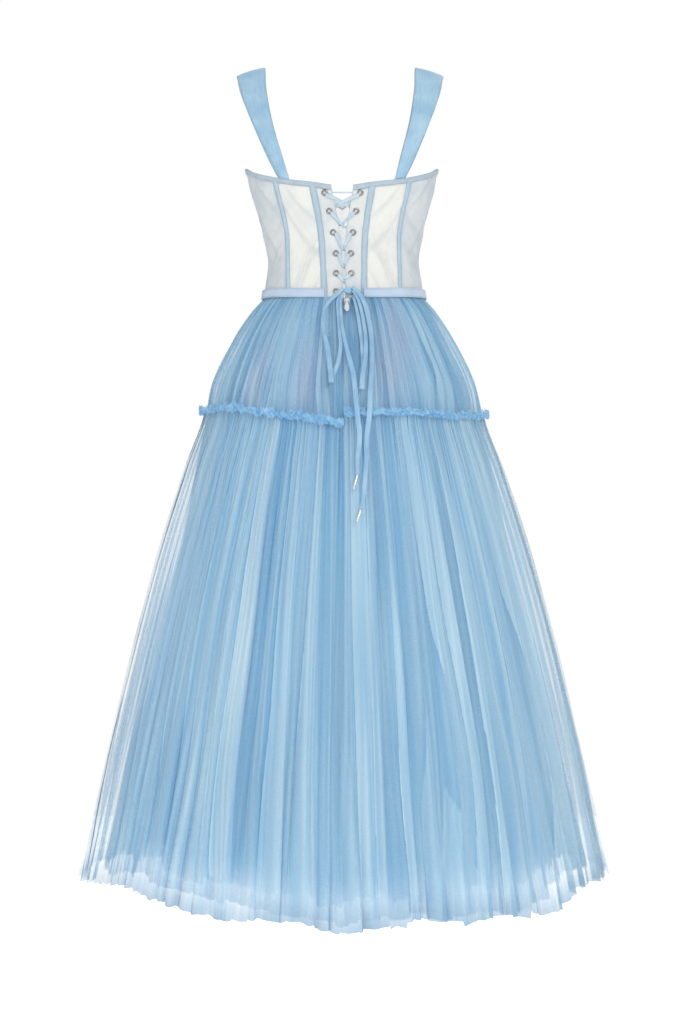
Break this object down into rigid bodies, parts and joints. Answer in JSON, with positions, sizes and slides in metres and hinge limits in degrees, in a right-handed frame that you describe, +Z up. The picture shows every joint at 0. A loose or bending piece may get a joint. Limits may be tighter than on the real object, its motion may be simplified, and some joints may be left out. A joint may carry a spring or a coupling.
{
  "type": "cocktail dress",
  "caption": "Sleeveless corset dress with a laced, boned back, wide shoulder straps and a full two-tier gathered net skirt, hollow and open as worn.",
  "frame": {"origin": "Midway between the two shoulder straps, level with the underside of their highest stretch, where the dress is carried when worn or hung", "axes": "+Z up along the height of the dress, +X towards the wearer's right, +Y towards the wearer's front, so the laced back faces -Y"},
  "size_m": [0.7967, 0.7908, 1.2182],
  "materials": {
    "sheer_mesh": "sheer ivory corset mesh over a thin lining",
    "bone_tape": "pale blue-grey woven boning tape and binding",
    "satin": "sky-blue satin",
    "satin_ribbon": "narrow double-faced satin ribbon, sky blue",
    "upper_tulle": "gathered soft net in several layers, dusty sky blue",
    "lower_tulle": "gathered soft net, sky blue, paler at the hem",
    "ruffle_tulle": "crumpled net strip, sky blue",
    "under_tulle": "plain net under skirt, deeper blue",
    "silvered_metal": "bright silvered metal"
  },
  "bodies": {
    "dress": {"aglet_left": "silvered_metal", "aglet_right": "silvered_metal", "back_panel_left": "sheer_mesh", "back_panel_right": "sheer_mesh", "bone_tape_front_left": "bone_tape", "bone_tape_front_right": "bone_tape", "bone_tape_inner_left": "bone_tape", "bone_tape_inner_right": "bone_tape", "bone_tape_outer_left": "bone_tape", "bone_tape_outer_right": "bone_tape", "bow_knot": "satin_ribbon", "bow_loop_left": "satin_ribbon", "bow_loop_right": "satin_ribbon", "bow_tail_left": "satin_ribbon", "bow_tail_right": "satin_ribbon", "cup_left": "sheer_mesh", "cup_right": "sheer_mesh", "eyelet_left_1": "silvered_metal", "eyelet_left_2": "silvered_metal", "eyelet_left_3": "silvered_metal", "eyelet_left_4": "silvered_metal", "eyelet_left_5": "silvered_metal", "eyelet_left_6": "silvered_metal", "eyelet_right_1": "silvered_metal", "eyelet_right_2": "silvered_metal", "eyelet_right_3": "silvered_metal", "eyelet_right_4": "silvered_metal", "eyelet_right_5": "silvered_metal", "eyelet_right_6": "silvered_metal", "front_panel": "sheer_mesh", "lace_left": "satin_ribbon", "lace_right": "satin_ribbon", "lacing_panel_left": "sheer_mesh", "lacing_panel_right": "sheer_mesh", "lower_tier_back_left": "lower_tulle", "lower_tier_back_right": "lower_tulle", "lower_tier_front_left": "lower_tulle", "lower_tier_front_right": "lower_tulle", "side_back_panel_left": "sheer_mesh", "side_back_panel_right": "sheer_mesh", "side_front_panel_left": "sheer_mesh", "side_front_panel_right": "sheer_mesh", "strap_left": "satin", "strap_right": "satin", "tier_ruffle_left": "ruffle_tulle", "tier_ruffle_right": "ruffle_tulle", "top_binding_back_left": "bone_tape", "top_binding_back_right": "bone_tape", "top_binding_front": "bone_tape", "under_skirt_left": "under_tulle", "under_skirt_right": "under_tulle", "upper_tier_back_left": "upper_tulle", "upper_tier_back_right": "upper_tulle", "upper_tier_front_left": "upper_tulle", "upper_tier_front_right": "upper_tulle", "waistband": "satin", "zip_slider": "silvered_metal"},
    "pull_tab": {"zip_pull_tab": "silvered_metal"}
  },
  "joints": [
    {"name": "pull_tab_swing", "type": "hinge", "parent": "dress", "child": "pull_tab", "pos_m": [0.004, -0.10343, -0.35422], "axis": [-1, 0, 0], "range_deg": [0, 90]}
  ]
}
